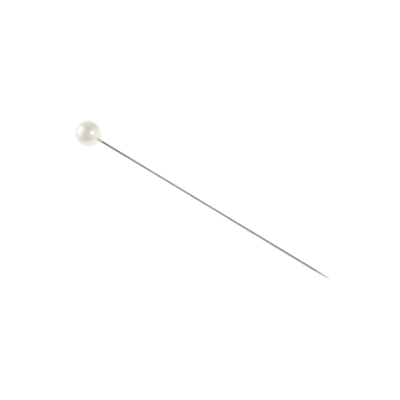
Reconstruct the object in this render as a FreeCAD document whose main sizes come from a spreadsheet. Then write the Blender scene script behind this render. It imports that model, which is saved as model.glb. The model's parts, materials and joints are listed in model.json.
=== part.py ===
"""Hat pin: a straight steel shank with a pearl bead cemented on its blunt end.

The pin lies on a level surface, as it does on a dressing table. The bead carries one
end and the flank of the point carries the other, so the shank slopes down a little
towards its point. Every piece is turned, moulded or drawn about the shank's own axis,
so each is modelled about its local X axis, with the bead's centre at the local origin
and the point towards +X, and is then laid on the surface by its Placement.

The origin of the finished part is on that surface, under the middle of the pin.
"""
import FreeCAD
import Part

import math
import os

import Sketcher

# Driving dimensions in millimetres: alias, value, meaning.
DIMENSIONS = (
    ("bead_dia", 8.0, "finished pearl bead, across the lacquer"),
    ("coat_thickness", 0.1, "pearl lacquer on the moulded core"),
    ("mouth_flat_dia", 1.4, "flat on the finished bead round the bore's mouth"),
    ("bore_dia", 0.9, "blind bore that takes the shank"),
    ("bore_depth", 5.5, "bore's full diameter, from the mouth flat"),
    ("drill_point", 0.27, "height of the conical end of the bore"),
    ("overall_length", 88.9, "far pole of the bead to the tip of the point"),
    ("wire_dia", 0.6, "drawn steel wire of the shank"),
    ("anchor_depth", 5.2, "shank's blunt end, below the mouth flat"),
    ("end_chamfer", 0.08, "chamfer on the blunt end"),
    ("point_length", 5.0, "ground ogive of the point"),
    ("nose_radius", 0.03, "rounding at the very tip"),
    ("ring_radius", 0.14, "section radius of each ring rolled into a surface"),
    ("ring_bite", 0.04, "depth of those rings and of the waist"),
    ("ring_pitch", 0.65, "spacing of the rings that key the cement"),
    ("ring_first", 0.6, "first of those rings, from the blunt end"),
    ("ring_count", 6, "number of those rings"),
    ("waist_radius", 1.5, "section radius of the waist under the swaged neck"),
    ("film_thickness", 0.05, "cement between the bead and the collar"),
    ("fillet_dia", 1.34, "cement squeezed out round the collar"),
    ("collar_length", 1.6, "collar, from its flared rim to the end of its neck"),
    ("flare_dia", 1.2, "collar's rim on the bead"),
    ("rim_width", 0.1, "straight edge of that rim"),
    ("neck_dia", 0.72, "end of the collar's neck, on the wire"),
    ("cup_dia", 0.96, "collar's inside at the rim, filled with cement"),
    ("cup_depth", 0.7, "depth of that inside"),
    ("swage_offset", 0.4, "ring swaged into the neck, from the end of the neck"),
)

# Radii, and positions along the pin's axis, as expressions of the sheet's cells.
BEAD_R = "(Sizes.bead_dia / 2)"
CORE_R = "(Sizes.bead_dia / 2 - Sizes.coat_thickness)"
FLAT_R = "(Sizes.mouth_flat_dia / 2)"
BORE_R = "(Sizes.bore_dia / 2)"
WIRE_R = "(Sizes.wire_dia / 2)"
FLARE_R = "(Sizes.flare_dia / 2)"
NECK_R = "(Sizes.neck_dia / 2)"
CUP_R = "(Sizes.cup_dia / 2)"
MOUTH = f"sqrt({BEAD_R}^2 - {FLAT_R}^2)"
CORE_MOUTH = f"({MOUTH} - Sizes.coat_thickness)"
CORE_FLAT_R = f"sqrt({CORE_R}^2 - {CORE_MOUTH}^2)"
BORE_END = f"({MOUTH} - Sizes.bore_depth)"
DRILL_TIP = f"({BORE_END} - Sizes.drill_point)"
BLUNT_END = f"({MOUTH} - Sizes.anchor_depth)"
TIP = f"(Sizes.overall_length - {BEAD_R})"
NOSE_X = f"({TIP} - Sizes.nose_radius)"
SHOULDER = f"({TIP} - Sizes.point_length)"
SEAT = f"({MOUTH} + Sizes.film_thickness)"
RIM_END = f"({SEAT} + Sizes.rim_width)"
CUP_END = f"({SEAT} + Sizes.cup_depth)"
NECK_END = f"({SEAT} + Sizes.collar_length)"
SWAGE_X = f"({NECK_END} - Sizes.swage_offset)"
AXIS = "0"

# The point's flank is an arc that leaves the shank's cylinder without a kink.
FLANK_RUN = "(Sizes.point_length - Sizes.nose_radius)"
FLANK_DROP = f"({WIRE_R} - Sizes.nose_radius)"
FLANK_R = f"(({FLANK_RUN}^2 + {FLANK_DROP}^2) / (2 * {FLANK_DROP}))"

# The collar's trumpet is an arc that ends parallel to the wire.
TRUMPET_RUN = f"({NECK_END} - {RIM_END})"
TRUMPET_RISE = f"({FLARE_R} - {NECK_R})"
TRUMPET_R = f"(({TRUMPET_RUN}^2 + {TRUMPET_RISE}^2) / (2 * {TRUMPET_RISE}))"
SWAGE_R = f"({NECK_R} + Sizes.swage_offset^2 / (2 * {TRUMPET_R}))"

# The surface touches the bead and the flank of the point, which gives the slope.
FLANK_CENTRE = f"({FLANK_R} - {WIRE_R})"
SLOPE = (
    f"(acos(({FLANK_R} - {BEAD_R}) / sqrt({FLANK_CENTRE}^2 + {SHOULDER}^2))"
    f" - atan({SHOULDER} / {FLANK_CENTRE}))"
)

# Sketcher's numbers for its origin, its horizontal axis and an edge's points.
ORIGIN = (-1, 1)
HORIZONTAL_AXIS = -1
START, STOP, CENTRE = 1, 2, 3


def make_sheet(doc):
    """The spreadsheet that holds the driving dimensions, one aliased cell each."""
    sheet = doc.addObject("Spreadsheet::Sheet", "Sizes")
    for row, (alias, value, meaning) in enumerate(DIMENSIONS, start=1):
        sheet.set(f"A{row}", alias)
        sheet.set(f"B{row}", str(value))
        sheet.set(f"C{row}", meaning)
        sheet.setAlias(f"B{row}", alias)
    doc.recompute()


def make_body(doc, name):
    """An empty body whose local X axis is the pin's axis."""
    body = doc.addObject("PartDesign::Body", name)
    body.Label = name
    return body


def origin_feature(body, role):
    """The plane or axis of the body's own origin that has that role."""
    return next(f for f in body.Origin.OriginFeatures if f.Role == role)


def make_sketch(body, name):
    """An empty sketch in the plane of the body's X and Z axes."""
    sketch = body.newObject("Sketcher::SketchObject", name)
    sketch.AttachmentSupport = (origin_feature(body, "XZ_Plane"), [""])
    sketch.MapMode = "FlatFace"
    body.Document.recompute()
    return sketch


def sheet_value(doc, expression):
    """The number that an expression of the sheet's cells comes to."""
    return float(doc.Sizes.evalExpression(expression.replace("Sizes.", "")))


def sheet_point(doc, pair):
    """The point of a sketch that an (x, radius) pair of expressions stands for."""
    x, radius = pair
    return FreeCAD.Vector(sheet_value(doc, x), sheet_value(doc, radius), 0)


def bind(sketch, kind, expression, *place):
    """Adds a dimension to the sketch and binds it to an expression."""
    value = sheet_value(sketch.Document, expression)
    index = sketch.addConstraint(Sketcher.Constraint(kind, *place, value))
    sketch.setExpression(f"Constraints[{index}]", expression)


def bind_point(sketch, edge, point, pair):
    """Binds a point of one of the sketch's edges to an (x, radius) pair."""
    x, radius = pair
    bind(sketch, "DistanceX", x, *ORIGIN, edge, point)
    if radius == AXIS:
        on_axis = Sketcher.Constraint("PointOnObject", edge, point, HORIZONTAL_AXIS)
        sketch.addConstraint(on_axis)
    else:
        bind(sketch, "DistanceY", radius, *ORIGIN, edge, point)


def add_arc(sketch, start, stop, centre):
    """Adds the short arc from start to stop, and says which of its ends is which."""
    normal = FreeCAD.Vector(0, 0, 1)
    circle = Part.Circle(centre, normal, centre.distanceToPoint(start))
    first, last = circle.parameter(start), circle.parameter(stop)
    if (last - first) % math.tau < math.pi:
        sketch.addGeometry(Part.ArcOfCircle(circle, first, last), False)
        return START, STOP
    sketch.addGeometry(Part.ArcOfCircle(circle, last, first), False)
    return STOP, START


def section_sketch(body, name, corners, arc_centres=None):
    """A closed half-section beside the body's X axis, with every size bound.

    corners are (x, radius) pairs in order round the section. arc_centres maps a corner's
    index to the centre of the arc that runs from it to the next corner.
    """
    arc_centres = arc_centres or {}
    sketch = make_sketch(body, name)
    points = [sheet_point(body.Document, corner) for corner in corners]
    ends = []
    for side, start in enumerate(points):
        stop = points[(side + 1) % len(points)]
        if side in arc_centres:
            centre = sheet_point(body.Document, arc_centres[side])
            ends.append(add_arc(sketch, start, stop, centre))
        else:
            sketch.addGeometry(Part.LineSegment(start, stop), False)
            ends.append((START, STOP))
    for side, corner in enumerate(corners):
        following = (side + 1) % len(corners)
        join = (side, ends[side][1], following, ends[following][0])
        sketch.addConstraint(Sketcher.Constraint("Coincident", *join))
        bind_point(sketch, side, ends[side][0], corner)
    for side, (centre_x, _) in arc_centres.items():
        bind(sketch, "DistanceX", centre_x, *ORIGIN, side, CENTRE)
    return sketch


def turn(body, kind, name, sketch):
    """Turns a sketch about the body's X axis, to add material or to cut it away."""
    volume_before = body.Shape.Volume if body.Tip else 0.0
    feature = body.newObject(f"PartDesign::{kind}", name)
    feature.Profile = sketch
    feature.ReferenceAxis = (sketch, ["H_Axis"])
    feature.Angle = 360.0
    body.Document.recompute()
    if math.isclose(feature.Shape.Volume, volume_before):
        raise RuntimeError(f"{name} leaves {body.Label} as it was")
    return feature


def turn_ring(body, name, x, surface_r, radius="Sizes.ring_radius"):
    """Rolls a shallow ring, centred at x, into a surface of radius surface_r there."""
    sketch = make_sketch(body, f"{name}_section")
    centre = (x, f"{surface_r} + {radius} - Sizes.ring_bite")
    normal = FreeCAD.Vector(0, 0, 1)
    middle = sheet_point(body.Document, centre)
    circle = Part.Circle(middle, normal, sheet_value(body.Document, radius))
    edge = sketch.addGeometry(circle, False)
    bind_point(sketch, edge, CENTRE, centre)
    bind(sketch, "Radius", radius, edge)
    return turn(body, "Groove", name, sketch)


def lay_down(body):
    """Lays a body on the surface, with the origin under the middle of the pin."""
    across = FreeCAD.Vector(0, 1, 0)
    body.Placement = FreeCAD.Placement(FreeCAD.Vector(), FreeCAD.Rotation(across, 1.0))
    body.setExpression("Placement.Rotation.Angle", SLOPE)
    body.setExpression("Placement.Base.x", f"({BEAD_R} - {TIP} * cos({SLOPE})) / 2 * 1mm")
    body.setExpression("Placement.Base.z", f"{BEAD_R} * 1mm")
    body.Document.recompute()


def cut(doc, name, base, tool):
    """The base with the tool's shape taken out of it."""
    result = doc.addObject("Part::Cut", name)
    result.Label = name
    result.Base = base
    result.Tool = tool
    doc.recompute()
    return result


def make_shank(doc):
    """Drawn wire: rings at the blunt end, a waist under the collar, a ground point."""
    body = make_body(doc, "shank")
    section = section_sketch(
        body,
        "shank_section",
        (
            (BLUNT_END, AXIS),
            (BLUNT_END, f"{WIRE_R} - Sizes.end_chamfer"),
            (f"{BLUNT_END} + Sizes.end_chamfer", WIRE_R),
            (SHOULDER, WIRE_R),
            (NOSE_X, "Sizes.nose_radius"),
            (TIP, AXIS),
        ),
        {3: (SHOULDER, f"{WIRE_R} - {FLANK_R}"), 4: (NOSE_X, AXIS)},
    )
    turn(body, "Revolution", "wire", section)
    ring = turn_ring(body, "cement_ring", f"{BLUNT_END} + Sizes.ring_first", WIRE_R)
    rings = body.newObject("PartDesign::LinearPattern", "cement_rings")
    rings.Originals = [ring]
    rings.Direction = (origin_feature(body, "X_Axis"), [""])
    rings.setExpression("Length", "Sizes.ring_pitch * (Sizes.ring_count - 1)")
    rings.setExpression("Occurrences", "Sizes.ring_count")
    body.Tip = rings
    doc.recompute()
    turn_ring(body, "waist", SWAGE_X, WIRE_R, "Sizes.waist_radius")
    lay_down(body)
    return body


def make_bead_core(doc):
    """Moulded ball with a flat round the mouth of its blind bore."""
    body = make_body(doc, "bead_core")
    ball = section_sketch(
        body,
        "ball_section",
        ((f"-{CORE_R}", AXIS), (CORE_MOUTH, CORE_FLAT_R), (CORE_MOUTH, AXIS)),
        {0: (AXIS, AXIS)},
    )
    turn(body, "Revolution", "ball", ball)
    bore = section_sketch(
        body,
        "bore_section",
        (
            (DRILL_TIP, AXIS),
            (BORE_END, BORE_R),
            (CORE_MOUTH, BORE_R),
            (CORE_MOUTH, AXIS),
        ),
    )
    turn(body, "Groove", "bore", bore)
    lay_down(body)
    return body


def make_pearl_coat(doc):
    """Skin of pearl lacquer over the core, open only at the mouth of the bore."""
    body = make_body(doc, "pearl_coat")
    section = section_sketch(
        body,
        "coat_section",
        (
            (f"-{BEAD_R}", AXIS),
            (MOUTH, FLAT_R),
            (MOUTH, BORE_R),
            (CORE_MOUTH, BORE_R),
            (CORE_MOUTH, CORE_FLAT_R),
            (f"-{CORE_R}", AXIS),
        ),
        {0: (AXIS, AXIS), 4: (AXIS, AXIS)},
    )
    turn(body, "Revolution", "skin", section)
    lay_down(body)
    return body


def make_collar(doc, shank):
    """Trumpet-shaped metal collar, cupped below and swaged into the wire's waist."""
    blank = make_body(doc, "collar_blank")
    trumpet = section_sketch(
        blank,
        "trumpet_section",
        (
            (SEAT, AXIS),
            (SEAT, FLARE_R),
            (RIM_END, FLARE_R),
            (NECK_END, NECK_R),
            (NECK_END, AXIS),
        ),
        {2: (NECK_END, f"{NECK_R} + {TRUMPET_R}")},
    )
    turn(blank, "Revolution", "trumpet", trumpet)
    cup = section_sketch(
        blank,
        "cup_section",
        ((SEAT, AXIS), (SEAT, CUP_R), (CUP_END, WIRE_R), (CUP_END, AXIS)),
    )
    turn(blank, "Groove", "cup", cup)
    turn_ring(blank, "swage_dent", SWAGE_X, SWAGE_R)
    lay_down(blank)
    return cut(doc, "collar", blank, shank)


def make_cement(doc, shank):
    """Cured cement: fills the bore and the collar's cup, and shows as a thin ring."""
    blank = make_body(doc, "cement_blank")
    section = section_sketch(
        blank,
        "cement_section",
        (
            (DRILL_TIP, AXIS),
            (BORE_END, BORE_R),
            (MOUTH, BORE_R),
            (MOUTH, "Sizes.fillet_dia / 2"),
            (SEAT, FLARE_R),
            (SEAT, CUP_R),
            (CUP_END, WIRE_R),
            (CUP_END, AXIS),
        ),
    )
    turn(blank, "Revolution", "fill", section)
    lay_down(blank)
    return cut(doc, "cement", blank, shank)


def check_document(doc, subparts):
    """Stops with a message if a feature failed or a sub-part isn't one valid solid."""
    for obj in doc.Objects:
        faults = {"Invalid", "Error"} & set(obj.State)
        if faults:
            raise RuntimeError(f"{obj.Label} is in state {sorted(faults)}")
    for part in subparts:
        shape = part.Shape
        if shape.isNull() or not shape.isValid() or len(shape.Solids) != 1:
            raise RuntimeError(f"{part.Label} isn't one valid solid")


def export(subparts):
    """Writes one STEP file for each sub-part and prints its volume and extent."""
    os.makedirs("parts", exist_ok=True)
    for part in subparts:
        part.Shape.exportStep(f"parts/{part.Label}.step")
        box = part.Shape.optimalBoundingBox()
        print(
            f"{part.Label}: volume {part.Shape.Volume:.4f} mm3,"
            f" x {box.XMin:.3f} to {box.XMax:.3f}, z {box.ZMin:.3f} to {box.ZMax:.3f}"
        )


def main():
    """Builds the pin's sub-parts from the sheet, checks them and exports them."""
    doc = FreeCAD.newDocument("hat_pin")
    make_sheet(doc)
    shank = make_shank(doc)
    bead_core = make_bead_core(doc)
    pearl_coat = make_pearl_coat(doc)
    collar = make_collar(doc, shank)
    cement = make_cement(doc, shank)
    doc.recompute()
    subparts = (shank, collar, cement, bead_core, pearl_coat)
    check_document(doc, subparts)
    export(subparts)


main()
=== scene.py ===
"""Hat pin with a pearl bead: its looks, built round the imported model.

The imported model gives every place. The pin's axis, its wire and its shoulder come from
the shank mount, and the bead and the tip from their nodes' boxes. Each piece is drawn in
millimetres about that axis, with the bead's centre at zero and the point towards +X. A
Geometry Nodes tree turns it into a mesh, and the mesh is laid in the row's frame.
"""

import json
import logging
import math
from collections.abc import Callable, Mapping
from dataclasses import dataclass, field
from enum import Enum

import bmesh
import bpy
from mathutils import Matrix, Vector


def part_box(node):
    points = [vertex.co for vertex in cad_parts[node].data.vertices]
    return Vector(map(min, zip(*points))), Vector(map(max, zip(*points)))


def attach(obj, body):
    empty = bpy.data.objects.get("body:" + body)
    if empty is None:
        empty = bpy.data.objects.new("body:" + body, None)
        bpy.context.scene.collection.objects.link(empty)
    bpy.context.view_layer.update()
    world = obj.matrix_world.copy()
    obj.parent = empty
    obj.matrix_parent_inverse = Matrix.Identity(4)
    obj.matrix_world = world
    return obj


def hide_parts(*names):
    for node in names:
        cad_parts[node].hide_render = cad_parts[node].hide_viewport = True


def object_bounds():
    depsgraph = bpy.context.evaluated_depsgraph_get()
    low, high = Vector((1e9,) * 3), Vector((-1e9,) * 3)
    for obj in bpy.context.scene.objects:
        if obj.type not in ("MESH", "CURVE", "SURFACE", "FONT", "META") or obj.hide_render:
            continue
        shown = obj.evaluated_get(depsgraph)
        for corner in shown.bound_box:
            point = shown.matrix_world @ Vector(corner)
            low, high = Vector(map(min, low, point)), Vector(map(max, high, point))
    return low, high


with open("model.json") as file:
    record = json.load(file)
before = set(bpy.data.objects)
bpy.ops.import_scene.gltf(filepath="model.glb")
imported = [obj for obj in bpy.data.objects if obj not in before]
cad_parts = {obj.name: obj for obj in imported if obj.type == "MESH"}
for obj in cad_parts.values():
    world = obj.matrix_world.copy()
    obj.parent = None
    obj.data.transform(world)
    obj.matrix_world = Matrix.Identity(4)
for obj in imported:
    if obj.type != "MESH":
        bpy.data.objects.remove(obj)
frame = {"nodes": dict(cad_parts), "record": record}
CAD_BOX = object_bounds()

MM = 0.001
BODY = "root"
PLACE = "place_mm"
SEED = 7.0
CORNER_STEPS = 4
LOBE_POWER = 3.0
PATCH_BAND = (0.38, 0.68)

Socket = bpy.types.NodeSocket
Tree = bpy.types.NodeTree
Mesh = bpy.types.Mesh
Material = bpy.types.Material
Piece = bpy.types.Object
Colour = tuple[float, float, float]
Direction = tuple[float, float, float]
Pair = tuple[float, float]
Rule = Callable[[float], float]

log = logging.getLogger("hat_pin")


class CadNode(str, Enum):
    """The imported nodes."""

    SHANK = "shank"
    COLLAR = "collar"
    CEMENT = "cement"
    BEAD_CORE = "bead_core"
    PEARL_COAT = "pearl_coat"


class Family(str, Enum):
    """The families of nodes that a group can be made of."""

    GEOMETRY = "GeometryNode"
    SHADER = "ShaderNode"


class Kind(str, Enum):
    """The kinds of socket on the node groups."""

    GEOMETRY = "NodeSocketGeometry"
    NUMBER = "NodeSocketFloat"
    COUNT = "NodeSocketInt"
    VECTOR = "NodeSocketVector"
    FINISH = "NodeSocketMaterial"


class Value:
    """What a socket puts out, for plain arithmetic to work on."""

    def __init__(self, graph: "Graph", socket: Socket) -> None:
        """Takes up a socket of a graph."""
        self.graph = graph
        self.socket = socket

    def __add__(self, other: "Feed") -> "Value":
        """The sum."""
        return self.graph.maths("ADD", self, other)

    def __sub__(self, other: "Feed") -> "Value":
        """The difference."""
        return self.graph.maths("SUBTRACT", self, other)

    def __rsub__(self, other: "Feed") -> "Value":
        """The difference from a plain number."""
        return self.graph.maths("SUBTRACT", other, self)

    def __mul__(self, other: "Feed") -> "Value":
        """The product."""
        return self.graph.maths("MULTIPLY", self, other)

    def __truediv__(self, other: "Feed") -> "Value":
        """The quotient."""
        return self.graph.maths("DIVIDE", self, other)

    __radd__ = __add__


Feed = Value | float | int | str | Colour


class Graph:
    """Adds nodes to one tree, so that a formula reads as a formula."""

    def __init__(self, tree: Tree) -> None:
        """Starts on a tree."""
        self.tree = tree
        self.given: dict[str, Value] = {}

    @classmethod
    def group(cls, name: str, family: Family, inputs: Mapping[Kind, tuple[str, ...]]) -> "Graph":
        """Starts a node group with named inputs.

        Args:
            name: the group's name.
            family: what nodes it is made of.
            inputs: the inputs' names, by their kind.

        Returns:
            A graph whose given holds the inputs by name.
        """
        graph = cls(bpy.data.node_groups.new(name, f"{family.value}Tree"))
        for kind, labels in inputs.items():
            for label in labels:
                graph.tree.interface.new_socket(label, in_out="INPUT", socket_type=kind.value)
        source = graph.tree.nodes.new("NodeGroupInput")
        graph.given = {socket.name: Value(graph, socket) for socket in source.outputs}
        return graph

    def give(self, label: str, kind: Kind, result: Value) -> Tree:
        """Ends a node group.

        Args:
            label: the name of its output.
            kind: that output's kind.
            result: what it puts out.

        Returns:
            The finished group.
        """
        self.tree.interface.new_socket(label, in_out="OUTPUT", socket_type=kind.value)
        sink = self.tree.nodes.new("NodeGroupOutput")
        self.feed(sink.inputs[label], result)
        return self.tree

    def feed(self, socket: Socket, value: Feed) -> None:
        """Links a socket to a value of the graph, or sets a plain value on it.

        Args:
            socket: the socket.
            value: what it takes.
        """
        if isinstance(value, Value):
            self.tree.links.new(value.socket, socket)
        else:
            socket.default_value = value

    def add(
        self,
        kind: str,
        inputs: Mapping[str | int, Feed] | None = None,
        output: str | int = 0,
        **settings: object,
    ) -> Value:
        """Adds one node.

        Args:
            kind: the node's type name.
            inputs: values by input name or number.
            output: the output's name or number.
            settings: the node's own properties.

        Returns:
            What that output puts out.
        """
        node = self.tree.nodes.new(kind)
        for label, value in settings.items():
            setattr(node, label, value)
        for label, value in (inputs or {}).items():
            self.feed(node.inputs[label], value)
        return Value(self, node.outputs[output])

    def maths(self, operation: str, *values: Feed) -> Value:
        """One Math node's result, such as maths("SQRT", a)."""
        return self.add("ShaderNodeMath", dict(enumerate(values)), operation=operation)

    def least(self, first: Feed, second: Feed) -> Value:
        """The smaller of two values."""
        return self.maths("MINIMUM", first, second)

    def most(self, first: Feed, second: Feed) -> Value:
        """The larger of two values."""
        return self.maths("MAXIMUM", first, second)

    def vectors(self, operation: str, *values: Feed) -> Value:
        """One Vector Math node's vector."""
        return self.add("ShaderNodeVectorMath", dict(enumerate(values)), operation=operation)

    def dot(self, first: Feed, second: Feed) -> Value:
        """The dot product of two vectors."""
        return self.add("ShaderNodeVectorMath", {0: first, 1: second}, "Value", operation="DOT_PRODUCT")

    def scaled(self, vector: Feed, factor: Feed) -> Value:
        """A vector times a number."""
        inputs = {"Vector": vector, "Scale": factor}
        return self.add("ShaderNodeVectorMath", inputs, operation="SCALE")

    def axes(self, vector: Feed) -> list[Value]:
        """The X, Y and Z of a vector."""
        node = self.add("ShaderNodeSeparateXYZ", {"Vector": vector}).socket.node
        return [Value(self, socket) for socket in node.outputs]

    def joined(self, x: Feed, y: Feed, z: Feed) -> Value:
        """The vector with that X, Y and Z."""
        return self.add("ShaderNodeCombineXYZ", {"X": x, "Y": y, "Z": z})

    def ramp(self, value: Feed, low: Feed, high: Feed, start: Feed = 0.0, stop: Feed = 1.0) -> Value:
        """Eases from start to stop as a value goes from low to high.

        Args:
            value: the value that drives the ramp.
            low: the value where it leaves start.
            high: the value where it reaches stop.
            start: the result below low.
            stop: the result above high.

        Returns:
            The eased result.
        """
        inputs = {"Value": value, "From Min": low, "From Max": high, "To Min": start, "To Max": stop}
        return self.add("ShaderNodeMapRange", inputs, interpolation_type="SMOOTHSTEP")

    def noise(self, vector: Feed, scale: Feed, detail: float = 2.0) -> Value:
        """Seeded noise between 0 and 1, with that many features to the unit."""
        inputs = {"Vector": vector, "Scale": scale, "Detail": detail, "W": SEED}
        return self.add("ShaderNodeTexNoise", inputs, noise_dimensions="4D")

    def blend(self, factor: Feed, first: Feed, second: Feed) -> Value:
        """Mixes two colours.

        Args:
            factor: 0 for all of the first, 1 for all of the second.
            first: the first colour.
            second: the second colour.

        Returns:
            The mixed colour.
        """
        pair = [(*colour, 1.0) if isinstance(colour, tuple) else colour for colour in (first, second)]
        return self.add("ShaderNodeMix", {0: factor, 6: pair[0], 7: pair[1]}, 2, data_type="RGBA")

    def use(self, group: Tree, **inputs: Feed) -> Value:
        """What a node group puts out, given its inputs by name."""
        kind = group.bl_idname.removesuffix("Tree") + "Group"
        return self.add(kind, inputs, node_tree=group)

    def moved(self, geometry: Value, **where: Value) -> Value:
        """Geometry with its points at a Position, or moved by an Offset."""
        return self.add("GeometryNodeSetPosition", {"Geometry": geometry, **where})


@dataclass(frozen=True)
class PinLine:
    """The pin's own axis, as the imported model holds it.

    Attributes:
        centre: the bead's centre in the row's frame, in metres.
        direction: unit vector towards the point.
        bead_radius: finished bead, in millimetres.
        wire_radius: drawn wire, in millimetres.
        shoulder: where the wire ends and the point begins, in millimetres from the centre.
        tip: the very tip of the point.
    """

    centre: Vector
    direction: Vector
    bead_radius: float
    wire_radius: float
    shoulder: float
    tip: float

    @classmethod
    def from_frame(cls) -> "PinLine":
        """Reads the axis from the shank mount, the coat's box and the shank's box.

        Returns:
            The pin's axis and the stations along it.
        """
        mount = next(m for m in frame["record"]["mounts"] if m["name"] == CadNode.SHANK.value)
        direction = Vector(mount["axis"]).normalized()
        middle = Vector(mount["pos_m"])
        low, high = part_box(CadNode.PEARL_COAT.value)
        bead_radius = max(high.y - low.y, high.z - low.z) / 2
        centre = middle + direction * ((low.x + bead_radius - middle.x) / direction.x)
        half_wall = mount["dims"]["length_mm"] / 2
        tip_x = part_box(CadNode.SHANK.value)[1].x
        return cls(
            centre=centre,
            direction=direction,
            bead_radius=bead_radius / MM,
            wire_radius=mount["dims"]["r_mm"],
            shoulder=(middle - centre).dot(direction) / MM + half_wall,
            tip=(tip_x - centre.x) / direction.x / MM,
        )

    def to_row(self) -> Matrix:
        """The matrix from millimetres about the axis to metres in the row's frame.

        Returns:
            The matrix.
        """
        across = Vector((0.0, 1.0, 0.0))
        up = self.direction.cross(across)
        turned = Matrix((self.direction, across, up)).transposed().to_4x4()
        return Matrix.Translation(self.centre) @ turned @ Matrix.Scale(MM, 4)


class Outline:
    """A half-section beside the pin's axis: (x, radius) points in millimetres."""

    def __init__(self, x: float, radius: float) -> None:
        """Starts at a point."""
        self.points: list[Pair] = [(x, radius)]

    def line(self, x: float, radius: float) -> "Outline":
        """Runs straight to a point."""
        self.points.append((x, radius))
        return self

    def corner(self, x: float, radius: float, after: Pair, ease: float) -> "Outline":
        """Runs to a corner and rounds it off.

        Args:
            x: the sharp corner's place along the axis.
            radius: the sharp corner's radius.
            after: a point further along the side that follows.
            ease: how far from the corner the rounding starts and stops.

        Returns:
            The outline itself.
        """
        sharp = Vector((x, radius))
        start = sharp + (Vector(self.points[-1]) - sharp).normalized() * ease
        stop = sharp + (Vector(after) - sharp).normalized() * ease
        for step in range(CORNER_STEPS + 1):
            share = step / CORNER_STEPS
            first = start.lerp(sharp, share)
            self.points.append(tuple(first.lerp(sharp.lerp(stop, share), share)))
        return self

    def follow(self, rule: Rule, start: float, stop: float, steps: int) -> "Outline":
        """Follows a radius that is a formula of x.

        Args:
            rule: gives the radius at x.
            start: the first x.
            stop: the last x.
            steps: how many steps to take.

        Returns:
            The outline itself.
        """
        for step in range(steps + 1):
            x = start + (stop - start) * step / steps
            self.points.append((x, rule(x)))
        return self

    def arc(self, radius: float, start: float, stop: float, steps: int) -> "Outline":
        """Follows a circle round the bead's centre, with even steps of angle.

        Args:
            radius: the circle's radius.
            start: the first angle from +X, in radians.
            stop: the last angle.
            steps: how many steps to take.

        Returns:
            The outline itself.
        """
        for step in range(steps + 1):
            angle = start + (stop - start) * step / steps
            self.points.append((radius * math.cos(angle), radius * math.sin(angle)))
        return self

    def mesh(self, name: str, closed: bool = False) -> Mesh:
        """The outline as a mesh of points for a tree to read, in order.

        Args:
            name: the mesh's name.
            closed: whether the last point joins the first.

        Returns:
            The mesh.
        """
        ring = self.points + self.points[:1] if closed else self.points
        mesh = bpy.data.meshes.new(name)
        mesh.from_pydata([(x, 0.0, max(radius, 0.0)) for x, radius in ring], [], [])
        return mesh


def rolled_ring(x: float, middle: float, surface: float, section: float, bite: float) -> float:
    """The radius that a ring of round section rolled into a surface leaves at x.

    Args:
        x: the place along the axis.
        middle: the ring's middle.
        surface: the surface's radius at x.
        section: the radius of the ring's section.
        bite: the depth of the ring.

    Returns:
        The radius at x, which is the surface's away from the ring.
    """
    away = abs(x - middle)
    if away >= section:
        return surface
    return min(surface, surface + section - bite - math.sqrt(section**2 - away**2))


def grow(name: str, tree: Tree, values: Mapping[str, object], start: Mesh) -> Mesh:
    """Runs a Geometry Nodes tree once.

    Args:
        name: the new mesh's name.
        tree: the tree to run.
        values: the modifier's inputs by name.
        start: the mesh that the tree is given.

    Returns:
        The result as a plain mesh.
    """
    worker = bpy.data.objects.new(f"{name}_start", start)
    bpy.context.scene.collection.objects.link(worker)
    modifier = worker.modifiers.new(tree.name, "NODES")
    modifier.node_group = tree
    for item in tree.interface.items_tree:
        if item.in_out == "INPUT" and item.name in values:
            modifier[item.identifier] = values[item.name]
    evaluated = worker.evaluated_get(bpy.context.evaluated_depsgraph_get())
    mesh = bpy.data.meshes.new_from_object(evaluated)
    mesh.name = name
    for number in reversed(range(len(mesh.materials))):
        if mesh.materials[number] is None:
            mesh.materials.pop(index=number)
    worker.modifiers.remove(modifier)
    bpy.data.objects.remove(worker)
    return mesh


def finish_mesh(mesh: Mesh, to_row: Matrix, crease: float) -> None:
    """Turns a mesh's faces outwards, lays it in the row's frame and smooths it.

    Args:
        mesh: the mesh, in millimetres about the pin's axis.
        to_row: the matrix that lays it in the row's frame.
        crease: edges that turn by more than this many degrees stay sharp.

    Raises:
        RuntimeError: if the mesh isn't closed.
    """
    shape = bmesh.new()
    shape.from_mesh(mesh)
    bmesh.ops.recalc_face_normals(shape, faces=shape.faces)
    if not all(edge.is_manifold for edge in shape.edges):
        raise RuntimeError(f"{mesh.name} isn't closed")
    shape.to_mesh(mesh)
    shape.free()
    mesh.transform(to_row)
    mesh.shade_smooth()
    mesh.set_sharp_from_angle(angle=math.radians(crease))


def place_piece(name: str, mesh: Mesh, node: CadNode) -> Piece:
    """Makes a finished mesh a piece that rides with the pin in a CAD node's stead.

    Args:
        name: the piece's name.
        mesh: its finished mesh.
        node: the CAD node that it stands for.

    Returns:
        The piece.
    """
    piece = bpy.data.objects.new(name, mesh)
    bpy.context.scene.collection.objects.link(piece)
    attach(piece, BODY)
    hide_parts(node.value)
    return piece


def turned_grid(graph: Graph, stations: Feed, sides: Feed) -> tuple[Value, ...]:
    """A grid to turn about the axis, with one row of points to a station.

    Args:
        graph: the graph to add to.
        stations: how many stations there are along the axis.
        sides: faces in one turn.

    Returns:
        The grid, each point's station number, and the cosine and sine of its angle.
    """
    columns = sides + 1
    grid = graph.add("GeometryNodeMeshGrid", {"Vertices X": stations, "Vertices Y": columns})
    index = graph.add("GeometryNodeInputIndex")
    station = graph.maths("FLOOR", (index + 0.5) / columns)
    angle = (index - station * columns) / sides * math.tau
    return grid, station, graph.maths("COSINE", angle), graph.maths("SINE", angle)


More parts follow.
